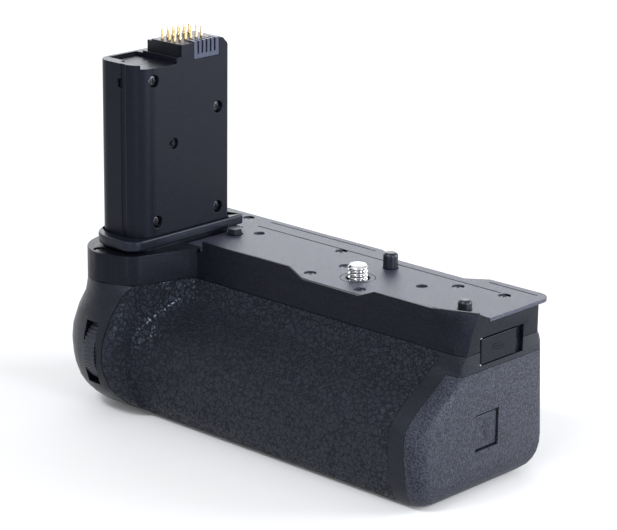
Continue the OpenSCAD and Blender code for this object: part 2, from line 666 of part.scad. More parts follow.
// Battery tray, chamber and packs
cham_low = -floor_z + 3.6;
pack_z = cham_low + 0.2 + tray_t + 0.1;
bulkhead_x = end_x - 6.9;
tray_end = end_x - 5.6;
pack_outer_x = bulkhead_x - 0.2 - pack_l;
divider_t = 1.8;
pack_inner_x = pack_outer_x - 0.4 - divider_t - pack_l;
tray_left = pack_inner_x - 0.2 - tray_t;
tray_front = pack_y - 0.1 - tray_t;
tray_rear = pack_y + pack_d + 0.1 + tray_t;
cham = [tray_left - 0.6, tray_front - 0.3, cham_low, tray_end - 0.2, tray_rear + 0.3, pack_z + pack_h + 0.8];
module chamber_space(grow) {
    block([cham[0] - grow, cham[1] - grow, cham[2]], [cham[3] + 10, cham[4] + grow, cham[5] + grow]);
}
module battery_chamber() {
    color("#3a3a3e") {
        difference() {
            block([cham[0] - 1.2, cham[1] - 1.2, cham_low - 1.2],
                [tray_end - 3.15, cham[4] + 1.2, cham[5] + 1.2]);
            chamber_space(0);
        }
        for (x = [-50, 38]) for (y = [-8, 16])
            bar_z(x, y, 1.8, cham[5] + 1.2 - eps, -board_top - board_t - 0.02);
        for (x = [-50, 30]) for (y = [pack_y + 1.9, 14])
            bar_z(x, y, 2, -floor_z + 0.02, cham_low - 1.2 + eps);
    }
}
module chamber_contacts() {
    color(gold) for (i = [0 : 4]) block([cham[0] + 0.05, -14 + i * 5, pack_z + 4],
        [tray_left - 0.15, -12 + i * 5, pack_z + 14]);
}
module tray_frame() {
    color("#26262a") {
        difference() {
            block([tray_left, tray_front, cham_low + 0.2], [bulkhead_x + 0.9, tray_rear, pack_z + 10]);
            block([tray_left + tray_t, pack_y - 0.1, pack_z - 0.1], [bulkhead_x, pack_y + pack_d + 0.1, 0]);
        }
        block([bulkhead_x, tray_front, pack_z + 10 - eps], [bulkhead_x + 0.9, tray_rear, cham[5] - 0.3]);
        difference() {
            block([pack_outer_x - 0.2 - divider_t, tray_front, pack_z - 0.1 - eps],
                [pack_outer_x - 0.2, tray_rear, pack_z + 13]);
            block([pack_outer_x - 3, -14, pack_z + 3], [pack_outer_x + 1, 8, pack_z + 20]);
        }
    }
}
module tray_contacts() {
    color(gold) block([pack_outer_x - 0.2 - divider_t + 0.1, -13.9, pack_z + 3.1],
        [pack_outer_x - 0.3, 7.9, pack_z + 13]);
}
module battery_pack(x) {
    color("#4a4b50") difference() {
        translate([x, 0, 0]) rotate([90, 0, 90]) linear_extrude(pack_l)
            polygon([[pack_y + 1, pack_z], [pack_y + pack_d - 1, pack_z], [pack_y + pack_d, pack_z + 1],
                [pack_y + pack_d, pack_z + pack_h - 3], [pack_y + pack_d - 3, pack_z + pack_h],
                [pack_y + 3, pack_z + pack_h], [pack_y, pack_z + pack_h - 3], [pack_y, pack_z + 1]]);
        block([x - 1, pack_y + 8, pack_z + 7], [x + 1.2, pack_y + 30, pack_z + 13]);
    }
}
module battery_pack_inner() {
    battery_pack(pack_inner_x);
}
module battery_pack_outer() {
    battery_pack(pack_outer_x);
}
latch_y = -1.9;
latch_z = -(door_top + body_h) / 2 - 0.1;
hook_y = [latch_y - 2, latch_y + 2];
hook_top = min(-door_top - 1.4, max(-door_top - 3, cham[5] + 7.6));
hook_low = min(cham[5] - 0.6, hook_top - 8.2);
module latch_opening(grow, x0, x1) {
    block([x0, latch_y - latch_w / 2 - grow, latch_z - latch_h / 2 - grow],
        [x1, latch_y + latch_w / 2 + grow, latch_z + latch_h / 2 + grow]);
}
module tray_door() {
    color(graphite) difference() {
        intersection() {
            casing_solid();
            block([tray_end, -60, -body_h - 1], [end_x + 1, 60, -door_top - gap]);
        }
        latch_opening(0.2, tray_end - 1, end_x + 1);
        latch_opening(1.4, tray_end - 1, end_x - 2.9);
        block([tray_end - 1, hook_y[0] - 0.3, latch_z], [tray_end + 2.4, hook_y[1] + 0.3, hook_top + 1]);
        for (p = tray_screw_at) bar_x(p[0], p[1], shank_r + slip, tray_end - 1, tray_end + 3.2);
    }
}
tray_screw_at = [for (y = [-16, 12]) for (z = [pack_z + 3.3, pack_z + 15.3]) [y, z]];
module tray_screws() {
    color(steel) for (p = tray_screw_at) bar_x(p[0], p[1], shank_r, bulkhead_x + 0.95, tray_end + 3);
}
module tray_latch_button() {
    color(graphite) {
        latch_opening(0, end_x - 3.3, end_x - 0.4);
        latch_opening(1.1, end_x - 3.9, end_x - 3.1);
    }
}
module tray_latch_hook() {
    color(steel) {
        block([tray_end + 0.2, hook_y[0], hook_low], [tray_end + 1.2, hook_y[1], hook_top]);
        block([tray_end - 2.4, hook_y[0] + 0.6, hook_top - 1.5],
            [tray_end + 0.2 + eps, hook_y[1] - 0.6, hook_top]);
    }
}
module hook_window() {
    block([tray_end - 10, hook_y[0] - 0.6, hook_top - 3.3], [tray_end + 1, hook_y[1] + 0.6, hook_top + 0.5]);
}
module catch_plate() {
    plate_low = max(hook_top - 5, cham[5] + 0.1);
    color(steel) difference() {
        block([tray_end - 3, hook_y[0] - 3, plate_low], [tray_end - 2.3, hook_y[1] + 3, plate_low + 7]);
        hook_window();
    }
}

// Boards
module control_board() {
    color(green) {
        block([-56, 2.7 - front_y, -board_top - board_t], [end_x - 10.2, rear_y - 3.4, -board_top]);
        block([-30, -6, -board_top - eps], [-20, 4, -board_top + 1.2]);
        block([-46, 6, -board_top - eps], [-40, 14, -board_top + 1.6]);
        block([28, rear_y - 11.4, -board_top - eps], [36, rear_y - 6.4, -board_top + 1.4]);
        for (y = [0, 6]) bar_z(38, y, 1.2, -board_top - eps, port_z - 2.8);
    }
}
module usb_board() {
    color(green) block([34, port_y - 5, port_z - 2.75], [47, port_y + 6, port_z - 1.75]);
}
module usb_receptacle() {
    color(steel) difference() {
        block([40, port_y - 4.5, port_z - 1.7], [end_x - 3, port_y + 4.5, port_z + 1.6]);
        block([41, port_y - 4.1, port_z - 1.3], [end_x, port_y + 4.1, port_z + 1.2]);
    }
}
module ribbon_cable() {
    w = [2.7 - front_y, -2];
    zt = -12.4;
    color("#b5702c") {
        block([-76, w[0], zt], [-54, w[1], zt + 0.3]);
        block([-76, w[0], zt], [-75.7, w[1], col_base]);
        block([-76.8, w[0], col_base], [-75.7, w[1], col_base + 0.3]);
        block([-54.3, w[0], -board_top + 0.05], [-54, w[1], zt + 0.3]);
    }
}

// Front rubber, lying in its seat flush with the casing
module front_rubber() {
    rows = concat([rubber_low], [for (z = levels) if (z < rubber_low && z > seam_z) z], [seam_z + 0.08]);
    rings = [for (z = rows) let (xl = lookup(z, rubber_edge_l), xr = lookup(z, rubber_edge_r),
        inner = front_curve(z, rubber_t, xl, xr))
        concat(front_curve(z, 0, xl, xr), [for (j = [len(inner) - 1 : -1 : 0]) inner[j]])];
    color(grain_black) loft(rings, [for (z = rows) -z], true);
}

// Controls on the hidden sides
dial_x = -76;
dial_y = -bulge_y + dial_r - 0.6;
dial_z = -deep(32.8);
rear_dial_x = -78.5;
rear_dial_y = rear_y + 3 - rear_dial_r;
rear_dial_z = -deep(24);
rear_far = rear_y + 17;
af_at = [-67, -deep(22)];
info_at = [-55, -deep(21)];
stick_at = [-65, -deep(34)];
stick_y = rear_y - 0.9;
shutter_at = [-11, -deep(31.5)];
iso_at = [3.5, -deep(31)];
exposure_at = [12, -deep(31)];
module dial(r, w, ridges, bore) {
    rotate([0, 90, 0]) linear_extrude(w, center = true) difference() {
        circle(r = r);
        circle(r = bore);
        for (i = [0 : ridges - 1]) rotate(i * 360 / ridges) translate([r + 0.08, 0])
            circle(r = 0.46, $fn = 12);
    }
}
module sub_command_dial() {
    color("#1d1d21") translate([dial_x, dial_y, dial_z]) dial(dial_r, dial_w, 54, 1.2 + slip);
}
module sub_dial_axle() {
    color(steel) bar_x(dial_y, dial_z, 1.2, dial_x - dial_w / 2 - 1.8, dial_x + dial_w / 2 + 1.8);
}
module main_command_dial() {
    color("#1d1d21") translate([rear_dial_x, rear_dial_y, rear_dial_z]) dial(rear_dial_r, 5, 46, 1.2 + slip);
}
module main_dial_axle() {
    color(steel) bar_x(rear_dial_y, rear_dial_z, 1.2, rear_dial_x - 4.2, rear_dial_x + 4.2);
}
module dial_ears(x, y, z, w) {
    for (s = [-1, 1]) difference() {
        block([x + s * (w / 2 + 1) - 0.6, y - 2.6, -deep(46.2)],
            [x + s * (w / 2 + 1) + 0.6, y + 2.6, z + 2.6]);
        bar_x(y, z, 1.22, x - 10, x + 10);
    }
}
cover_lo = [-83, -deep(43.5)];
cover_hi = [-34, -deep(13)];
cover_t = 1.5;
rear_at = function(z) lookup(-z, back);
module rear_dial_slot(half) {
    block([rear_dial_x - 2.9, rear_dial_y, rear_dial_z - half],
        [rear_dial_x + 2.9, rear_far, rear_dial_z + half]);
}
// Slab that follows the rear wall, between two depths behind its surface
module rear_slab(low, high, outer, inner) {
    translate([low[0], 0, 0]) rotate([90, 0, 90]) linear_extrude(high[0] - low[0])
        polygon([[rear_at(low[1]) - outer, low[1]], [rear_at(high[1]) - outer, high[1]],
            [rear_at(high[1]) - inner, high[1]], [rear_at(low[1]) - inner, low[1]]]);
}
rear_screw_at = [[-71, cover_lo[1] + 3], [-37, cover_lo[1] + 3], [-37, cover_hi[1] - 3],
    [-71.5, cover_hi[1] - 2.4]];
module rear_cover() {
    color(graphite) difference() {
        rear_slab(cover_lo, cover_hi, 0, cover_t);
        bar_y(af_at[0], af_at[1], big_btn_r + gap, wall_y - 10, rear_far);
        bar_y(info_at[0], info_at[1], small_btn_r + gap, wall_y - 10, rear_far);
        bar_y(stick_at[0], stick_at[1], 5.2, wall_y - 10, rear_far);
        rear_dial_slot(8.4);
        for (p = rear_screw_at) {
            bar_y(p[0], p[1], shank_r + slip, wall_y - 10, rear_far);
            bar_y(p[0], p[1], head_r + gap, rear_at(p[1]) - 1, rear_far);
        }
    }
}
module rear_screws() {
    color("#15151a") for (p = rear_screw_at) translate([p[0], rear_at(p[1]) - 1, p[1]]) rotate([-90, 0, 0])
        screw_shape(2.6);
}
module thumb_rubber() {
    color(grain_black) intersection() {
        rear_slab([-60, -deep(43)], [-30, -deep(20)], -1, -0.02);
        translate([0, rear_far, 0]) rotate([90, 0, 0]) linear_extrude(30)
            polygon([for (p = [[-56, 30], [-50, 25], [-44, 23], [-41, 25], [-41, 40], [-44, 42.5],
                [-53, 42.5],
                [-57, 39]]) [p[0], -deep(p[1])]]);
    }
}
module af_button() {
    color(graphite) {
        bar_y(af_at[0], af_at[1], big_btn_r, wall_y, rear_at(af_at[1]) + 0.8);
        bar_y(af_at[0], af_at[1], big_btn_r + 0.8, wall_y - 0.7, wall_y + eps);
    }
}
module info_button() {
    color(graphite) {
        bar_y(info_at[0], info_at[1], small_btn_r, wall_y, rear_at(info_at[1]) + 0.8);
        bar_y(info_at[0], info_at[1], small_btn_r + 0.8, wall_y - 0.7, wall_y + eps);
    }
}
// Ring that rocks on two side trunnions, and the stick that rocks in it on an upright pin
module stick_yoke() {
    color(steel) difference() {
        union() {
            bar_y(stick_at[0], stick_at[1], 4.4, stick_y - 0.6, stick_y + 0.6);
            bar_x(stick_y, stick_at[1], 0.5, stick_at[0] - 6, stick_at[0] + 6);
        }
        bar_y(stick_at[0], stick_at[1], 2.2, stick_y - 2, stick_y + 2);
    }
}
module pointer_stick() {
    color(grain_black) {
        bar_y(stick_at[0], stick_at[1], 1.5, stick_y - 0.3, stick_y + 2.9);
        bar_y(stick_at[0], stick_at[1], 3.4, stick_y + 2.9 - eps, stick_y + 4.7);
        bar_z(stick_at[0], stick_y, 0.5, stick_at[1] - 2.05, stick_at[1] + 2.05);
    }
}
boss_x = -bulge_x - 0.2;
module shutter_button() {
    color("#202024") bar_x(shutter_at[0], shutter_at[1], shutter_r, boss_x - 2.3, -92);
}
module lock_lever() {
    color(graphite) difference() {
        union() {
            bar_x(shutter_at[0], shutter_at[1], shutter_r + 2.4, boss_x - 1.2, boss_x - 0.05);
            block([boss_x - 1.2, shutter_at[0] - 9.6, shutter_at[1] - 1.4],
                [boss_x - 0.05, shutter_at[0] - 5, shutter_at[1] + 1.4]);
        }
        bar_x(shutter_at[0], shutter_at[1], shutter_r + slip + 0.01, -110, -90);
    }
}
module side_button(at) {
    bar_x(at[0], at[1], small_btn_r, -bulge_x - 0.6, -92.2);
    bar_x(at[0], at[1], small_btn_r + 0.8, -92.2 - eps, -91.6);
}
module iso_button() {
    color(graphite) side_button(iso_at);
}
module exposure_button() {
    color(graphite) side_button(exposure_at);
}

module shell_hollow() {
    front_depths = concat([seam_z - 1], [for (d = [14, 18, 22, 26, 30, 36, 42, 47]) deep(d)], [floor_z]);
    rear_depths = [floor_z, deep(50), deep(47), deep(14), seam_z, seam_z - 1];
    hollow_left = -66;
    translate([hollow_left, 0, 0]) rotate([90, 0, 90]) linear_extrude(tray_end - 2.1 - hollow_left)
        polygon(concat([for (d = front_depths) [-lookup(d, belly) + wall_t + 1.4, -d]],
            [for (d = rear_depths) [lookup(d, back) - wall_t, -d]]));
    intersection() {
        translate([0, 0, -deep(46)]) linear_extrude(deep(46) - seam_z + 1)
            polygon(casing_outline(seam_z, wall_t));
        block([-left_x - 30, -60, -body_h], [tray_end - 2.1, 60, 0]);
    }
    block([cham[0] - 1.4, cham[1] - 1.4, cham_low - 1.4], [hollow_left + 1, cham[4] + 1.4, -deep(40)]);
}
module lower_shell() {
    color(graphite) difference() {
        union() {
            difference() {
                shell_solid();
                block([tray_end - 0.1, -60, -body_h - 1], [end_x + 1, 60, -door_top]);
                shell_hollow();
                difference() {
                    block([tray_end - 5, -front_y + wall_t, -door_top + 1.4],
                        [end_x - wall_t, from_rear - wall_t - 1, 1]);
                    corner_fill();
                }
            }
            dial_ears(dial_x, dial_y, dial_z, dial_w);
            dial_ears(rear_dial_x, rear_dial_y, rear_dial_z, 5);
            bar_x(shutter_at[0], shutter_at[1], shutter_r + 3, boss_x, -92);
        }
        corner_facet();
        chamber_space(0.05);
        hook_window();
        rear_slab([cover_lo[0] - 0.1, cover_lo[1] - 0.1],
            [cover_hi[0] + 0.1, cover_hi[1] + 0.1], -9, cover_t + slip);
        block([cover_lo[0] + 2, rear_y - 11.4, cover_lo[1] + 3.7],
            [cover_hi[0] - 8, rear_far, cover_hi[1] - 4.2]);
        rear_dial_slot(9.2);
        for (p = rear_screw_at) bar_y(p[0], p[1], shank_r + slip, rear_y - 8.4, rear_far);
        bar_y(af_at[0], af_at[1], big_btn_r + 0.8 + gap, wall_y - 2, rear_far);
        bar_y(info_at[0], info_at[1], small_btn_r + 0.8 + gap, wall_y - 2, rear_far);
        block([dial_x - dial_w / 2 - 0.4, -60, dial_z - 10.4],
            [dial_x + dial_w / 2 + 0.4, dial_y, dial_z + 10.4]);
        bar_x(shutter_at[0], shutter_at[1], shutter_r + slip, -110, -86);
        for (p = [iso_at, exposure_at]) {
            bar_x(p[0], p[1], small_btn_r + gap, -110, -86);
            bar_x(p[0], p[1], small_btn_r + 0.8 + gap, -92.3, -86);
        }
        bar_z(socket_at[0], socket_at[1], socket_out + slip, -body_h - 1, -floor_z + 1);
        for (p = base_screw_at) {
            bar_z(p[0], p[1], shank_r + slip, -body_h - 1, -deep(45));
            bar_z(p[0], p[1], head_r + gap, -body_h - 1, -body_h + 0.85);
        }
        port_cut();
    }
}
socket_out = 6.5;
base_screw_at = [[-78, 12], [-78, -18], [36, pack_y + 0.9], [-44, pack_y + 0.9]];
module tripod_socket() {
    color(steel) difference() {
        bar_z(socket_at[0], socket_at[1], socket_out, -body_h + 0.02, cham_low - 1.4);
        bar_z(socket_at[0], socket_at[1], socket_r, -body_h - 1, cham_low);
    }
}
module base_screws() {
    color("#15151a") for (p = base_screw_at) translate([p[0], p[1], -body_h + 0.85]) rotate([180, 0, 0])
        screw_shape(floor_t - 0.85);
}

// Connector door on the end face, turning on an upright pin
module usb_door() {
    z0 = port_low[1] + 0.1;
    z1 = port_high[1] - 0.1;
    color(graphite) difference() {
        union() {
            bar_z(hinge_x, hinge_y, door_t / 2, z0, z1);
            block([end_x - door_t, hinge_y, z0], [end_x, port_high[0] - 0.1, z1]);
        }
        bar_z(hinge_x, hinge_y, hinge_r + slip, z0 - 1, z1 + 1);
    }
}
module usb_door_pin() {
    color(steel) bar_z(hinge_x, hinge_y, hinge_r, port_low[1] - 0.5, port_high[1] + 0.5);
}

top_frame();
deck_plate();
lower_shell();
rear_cover();
front_rubber();
thumb_rubber();
column_body();
column_cover();
column_collar();
column_board();
connector_block();
connector_pins();
contact_comb();
column_screws();
deck_screws();
locating_pin_tall();
locating_pin_short();
index_stud();
screw_bushing();
gear_bracket();
wheel_axle();
attachment_screw();
screw_gear();
attachment_wheel();
battery_chamber();
chamber_contacts();
catch_plate();
control_board();
usb_board();
usb_receptacle();
ribbon_cable();
tripod_socket();
base_screws();
rear_screws();
sub_dial_axle();
sub_command_dial();
main_dial_axle();
main_command_dial();
shutter_button();
lock_lever();
af_button();
info_button();
iso_button();
exposure_button();
stick_yoke();
pointer_stick();
usb_door();
usb_door_pin();
tray_frame();
tray_door();
tray_contacts();
tray_screws();
tray_latch_button();
tray_latch_hook();
battery_pack_inner();
battery_pack_outer();
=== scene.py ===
import json
import math

import bmesh
import bpy
import numpy as np
from mathutils import Matrix, Vector, kdtree

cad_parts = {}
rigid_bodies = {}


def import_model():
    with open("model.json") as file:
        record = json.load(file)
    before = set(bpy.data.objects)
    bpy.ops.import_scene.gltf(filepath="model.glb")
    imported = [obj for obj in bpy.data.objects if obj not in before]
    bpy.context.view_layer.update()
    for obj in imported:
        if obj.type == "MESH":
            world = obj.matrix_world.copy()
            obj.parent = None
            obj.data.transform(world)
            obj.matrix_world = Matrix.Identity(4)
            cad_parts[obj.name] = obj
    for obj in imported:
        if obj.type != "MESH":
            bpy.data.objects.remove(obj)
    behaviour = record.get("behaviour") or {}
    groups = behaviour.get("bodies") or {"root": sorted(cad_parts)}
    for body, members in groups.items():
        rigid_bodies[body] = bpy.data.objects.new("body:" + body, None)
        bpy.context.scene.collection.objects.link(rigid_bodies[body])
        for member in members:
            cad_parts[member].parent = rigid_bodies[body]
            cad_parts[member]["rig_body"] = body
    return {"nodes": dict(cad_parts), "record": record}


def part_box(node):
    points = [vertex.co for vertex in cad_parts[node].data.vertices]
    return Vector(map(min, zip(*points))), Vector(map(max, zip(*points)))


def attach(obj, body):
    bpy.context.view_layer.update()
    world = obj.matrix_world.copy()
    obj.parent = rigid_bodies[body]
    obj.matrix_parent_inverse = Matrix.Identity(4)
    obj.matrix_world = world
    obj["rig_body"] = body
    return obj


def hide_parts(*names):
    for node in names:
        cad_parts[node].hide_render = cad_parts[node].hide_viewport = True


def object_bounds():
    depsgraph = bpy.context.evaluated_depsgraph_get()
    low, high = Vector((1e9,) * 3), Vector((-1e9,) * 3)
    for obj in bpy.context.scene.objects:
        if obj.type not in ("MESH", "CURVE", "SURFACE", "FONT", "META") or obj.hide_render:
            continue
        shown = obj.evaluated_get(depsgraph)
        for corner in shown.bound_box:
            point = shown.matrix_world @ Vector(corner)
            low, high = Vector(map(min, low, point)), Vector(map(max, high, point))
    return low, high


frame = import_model()
rest_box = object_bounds()

# Lower casing. A deep tub moulded in black plastic with a fine spark-eroded grain. Its left end
# swells into the hand-grip bulge, and the front has a shallow seat for the grip rubber.
MM = 0.001
cool_shine = (0.72, 0.8, 1, 1)
weld = 0.012 * MM
level = math.radians(0.8)
crease = math.radians(40)
large_face = 250 * MM * MM


class Sock:
    """A shader socket that sums, products and textures are written with."""

    def __init__(self, tree, out=None):
        self.tree = tree
        self.out = out

    def node(self, kind, inputs, output=0, **settings):
        made = self.tree.nodes.new(kind)
        for key, value in settings.items():
            setattr(made, key, value)
        for key, value in inputs.items():
            if isinstance(value, Sock):
                self.tree.links.new(value.out, made.inputs[key])
            else:
                made.inputs[key].default_value = value
        return Sock(self.tree, made.outputs[output])

    def math(self, operation, *values):
        return self.node("ShaderNodeMath", dict(enumerate([self, *values])), operation=operation)

    def __add__(self, other):
        return self.math("ADD", other)

    def __mul__(self, other):
        return self.math("MULTIPLY", other)

    __radd__ = __add__
    __rmul__ = __mul__

    def ramp(self, low, high, to_low=0.0, to_high=1.0):
        return self.node("ShaderNodeMapRange", {0: self, 1: low, 2: high, 3: to_low, 4: to_high},
                         interpolation_type="SMOOTHSTEP")

    def mix(self, dark, light):
        return self.node("ShaderNodeMix", {0: self, 6: (*dark, 1), 7: (*light, 1)}, 2, data_type="RGBA")

    def noise(self, size, detail, rough):
        return self.node("ShaderNodeTexNoise",
                         {"Vector": self, "Scale": 1 / size, "Detail": detail, "Roughness": rough})

    def cells(self, size):
        return self.node("ShaderNodeTexVoronoi", {"Vector": self, "Scale": 1 / size},
                         feature="DISTANCE_TO_EDGE")

    def bump(self, depth):
        return self.node("ShaderNodeBump", {"Height": self, "Distance": depth, "Strength": 1.0})


def new_material(name):
    """A material, its shader and its place on the piece."""
    material = bpy.data.materials.new(name)
    material.use_nodes = True
    shader = material.node_tree.nodes["Principled BSDF"]
    return material, shader, Sock(material.node_tree).node("ShaderNodeTexCoord", {}, "Object")


def plug(shader, **sockets):
    for key, value in sockets.items():
        socket = shader.inputs[key.replace("_", " ")]
        if isinstance(value, Sock):
            shader.id_data.links.new(value.out, socket)
        else:
            socket.default_value = value


def moulded(name, dark, light, rough, grain, depth, specular=0.3):
    """Moulded plastic: grain is the size of its texture and depth how far that stands out."""
    material, shader, place = new_material(name)
    fine = place.noise(grain, 2.0, 0.6)
    speck = place.noise(grain * 0.45, 1.0, 0.5)
    plug(shader, Base_Color=fine.ramp(0.35, 0.7).mix(dark, light),
         Roughness=speck.ramp(0.3, 0.7, rough - 0.05, rough + 0.06),
         Normal=(fine * 0.6 + speck * 0.4).bump(depth), Specular_IOR_Level=specular,
         Specular_Tint=cool_shine)
    return material


def settle(made):
    """Turns an object's modifiers into plain mesh."""
    bpy.context.view_layer.update()
    graph = bpy.context.evaluated_depsgraph_get()
    mesh = bpy.data.meshes.new_from_object(made.evaluated_get(graph))
    made.modifiers.clear()
    made.data = mesh


def edge_angle(edge):
    return edge.calc_face_angle(0) if len(edge.link_faces) == 2 else 0


def soften(bm, width, chosen, segments=2):
    """Rounds the chosen outward edges of a merged mesh."""
    edges = [e for e in bm.edges if e.is_convex and chosen(e)]
    bmesh.ops.bevel(bm, geom=edges, offset=width, segments=segments, profile=0.5, affect="EDGES",
                    clamp_overlap=False)


def merged(node):
    """A welded copy of a CAD node with its flat faces joined up."""
    bm = bmesh.new()
    bm.from_mesh(frame["nodes"][node].data)
    bmesh.ops.remove_doubles(bm, verts=bm.verts, dist=weld)
    bmesh.ops.dissolve_limit(bm, angle_limit=level, verts=bm.verts, edges=bm.edges)
    return bm


slots = {part["node"]: part["material_slot"] for part in frame["record"]["subparts"]}


def stand_for(mesh, node, material, sharp=crease):
    """Makes a mesh the visible piece for a CAD node, on its body and with the given material."""
    mesh.materials.clear()
    mesh.materials.append(material)
    mesh.shade_smooth()
    mesh.set_sharp_from_angle(angle=sharp)
    made = bpy.data.objects.new(node + "_look", mesh)
    bpy.context.scene.collection.objects.link(made)
    made.modifiers.new("weigh", "WEIGHTED_NORMAL").keep_sharp = True
    settle(made)
    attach(made, frame["nodes"][node]["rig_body"])
    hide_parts(node)
    return made


def dress(node, material, width=0.0, keep=None, gap=0.0, mark=None):
    """A merged copy of a CAD node with its sharp outward edges rounded. Width and gap are in mm.

    A panel in the end face can be given a gap round it and a raised mark.
    """
    sunk = 0.08 * MM
    bm = merged(node)
    if width:
        soften(bm, width * MM, lambda e: edge_angle(e) > crease and (keep is None or keep(e)))
    if gap:
        low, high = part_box(node)
        middle = (low + high) / 2
        size = high - low
        for vertex in bm.verts:
            for i in (1, 2):
                vertex.co[i] = middle[i] + (vertex.co[i] - middle[i]) * (1 - 2 * gap * MM / size[i])
            vertex.co.x = min(vertex.co.x, high.x - sunk)
    if mark:
        mark(bm, *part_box(node))
    mesh = bpy.data.meshes.new(node + "_look")
    bm.to_mesh(mesh)
    bm.free()
    return stand_for(mesh, node, material)


def round_over(made, reach, limit=0.72, flat=1.0):
    """Gives a faceted curved shell the normals of the smooth surface that its facets follow.

    Each corner takes the mean normal of the seeded spots within reach whose faces turn away from its
    own by less than limit, as a cosine. Faces larger than flat, in square metres, stay flat.
    """
    spacing = 0.55 * reach
    mesh = made.data
    mesh.calc_loop_triangles()
    points = np.array([v.co for v in mesh.vertices])
    tris = np.array([t.vertices for t in mesh.loop_triangles])
    a, b, c = points[tris[:, 0]], points[tris[:, 1]], points[tris[:, 2]]
    cross = np.cross(b - a, c - a)
    area = np.linalg.norm(cross, axis=1) / 2
    facing = cross / np.maximum(area[:, None] * 2, 1e-15)
    count = np.maximum(1, (area / spacing ** 2)).astype(int)
    rng = np.random.default_rng(3)
    which = np.repeat(np.arange(len(tris)), count)
    u = rng.random(len(which))
    v = rng.random(len(which))
    over = u + v > 1
    u[over] = 1 - u[over]
    v[over] = 1 - v[over]
    spots = a[which] + u[:, None] * (b - a)[which] + v[:, None] * (c - a)[which]
    weight = (area / count)[which]
    tree = kdtree.KDTree(len(spots))
    for i, spot in enumerate(spots):
        tree.insert(spot, i)
    tree.balance()
    normals = np.zeros((len(mesh.loops), 3))
    known = {}
    for face in mesh.polygons:
        own = np.array(face.normal)
        for loop in face.loop_indices:
            vertex = mesh.loops[loop].vertex_index
            if vertex not in known:
                found = tree.find_range(points[vertex], reach)
                index = np.array([f[1] for f in found], int)
                away = np.array([f[2] for f in found])
                known[vertex] = (facing[which[index]], weight[index] * (1.02 - away / reach) ** 2)
            near, share = known[vertex]
            total = own
            if len(near) and face.area < flat:
                likeness = np.clip((near @ own - limit) / (1 - limit), 0, 1)
                total = (near * (share * likeness)[:, None]).sum(0)
            length = np.linalg.norm(total)
            normals[loop] = total / length if length > 1e-12 else own
    mesh.normals_split_custom_set([tuple(n) for n in normals])


casing_plastic = moulded("casing_plastic", (0.002, 0.0023, 0.004), (0.007, 0.0078, 0.012),
                         rough=0.33, grain=0.5 * MM, depth=0.16 * MM, specular=0.26)
round_over(dress("lower_shell", casing_plastic), 3.2 * MM, flat=large_face)

# Battery door. The end cap carries on the casing's section and closes over the tray that it is
# fixed to. It is moulded in a lighter and more coarsely grained plastic.
door_plastic = moulded("door_plastic", (0.006, 0.0065, 0.01), (0.04, 0.042, 0.058),
                       rough=0.36, grain=0.5 * MM, depth=0.3 * MM, specular=0.24)
round_over(dress("tray_door", door_plastic), 2.6 * MM)


# Grip rubber. Black rubber pressed with a leather grain: raised crinkled islands one to two
# millimetres across with narrow creases between them. The front and the thumb rest wear it.
def leather(name):
    """Cells whose borders wander, each cut up by finer cells."""
    drift_size = 1.5 * MM
    drift_reach = 2.6 * MM
    material, shader, place = new_material(name)
    drift = place.node("ShaderNodeTexNoise", {"Vector": place, "Scale": 1 / drift_size, "Detail": 2.0},
                       "Color")
    shift = drift.node("ShaderNodeVectorMath", {0: drift, 1: (0.5, 0.5, 0.5)}, operation="SUBTRACT")
    moved = shift.node("ShaderNodeVectorMath", {0: shift, 1: (drift_reach,) * 3, 2: place},
                       operation="MULTIPLY_ADD")
    islands = moved.cells(1.85 * MM).ramp(0.0, 0.15)
    crinkle = moved.cells(1.1 * MM).ramp(0.0, 0.12)
    height = islands * (crinkle * 0.35 + 0.65)
    # The base colour goes near-black in the creases: painted shade there, over the rubber's own black.
    plug(shader, Base_Color=height.ramp(0.1, 0.95).mix((0.0003, 0.0003, 0.0006), (0.0068, 0.0078, 0.0138)),
         Roughness=height.ramp(0.2, 0.9, 0.8, 0.28), Normal=height.bump(0.34 * MM), Specular_IOR_Level=0.34,
         Specular_Tint=cool_shine)
    return material


leather_rubber = leather("leather_rubber")
round_over(dress("front_rubber", leather_rubber, 0.3), 3.2 * MM)
dress("thumb_rubber", leather_rubber, 0.3)

# Top casing. It frames the deck with two raised lips along its front edge, and a slanted facet with
# softly rounded edges cuts the corner beside the connector door.
facet_left = Vector((39.6, -13.71, 3.8)) * MM
facet_right = Vector((53.71, -7.5, 3.8)) * MM
facet_foot = Vector((53.71, -13.71, -13.5)) * MM
facet_normal = (facet_right - facet_left).cross(facet_foot - facet_left).normalized()
facet_round = 1.3 * MM
lobe_round = 3.0 * MM
rim_round = 0.22 * MM
# Tiny facets at the lobe's corner, in mm, are drawn together into one upright edge.
lobe_corner = (-63.8, -34.48)
tiny_x = (-63.75, -63.38)
tiny_y = (-34.3, -32.7)
lobe_right = -57
lobe_back = -20
lobe_tall = 5


def facet_side(edge):
    """A slanted border of the facet."""
    first, second = (v.co for v in edge.verts)
    near = all(abs((v.co - facet_left).dot(facet_normal)) < 0.05 * MM for v in edge.verts)
    inside = sum(abs(f.normal.dot(facet_normal)) > 0.999 for f in edge.link_faces)
    return near and inside == 1 and abs(first.z - second.z) > 4 * MM


def lobe_edge(edge):
    """The upright corner of the frame in front of the column."""
    low, high = sorted((v.co / MM for v in edge.verts), key=lambda c: c.z)
    rise = high.z - low.z
    upright = rise > lobe_tall and (high - low).xy.length < 0.3 * rise
    blunt = math.radians(15) < edge_angle(edge) < math.radians(80)
    return upright and blunt and low.x < lobe_right and low.y < lobe_back


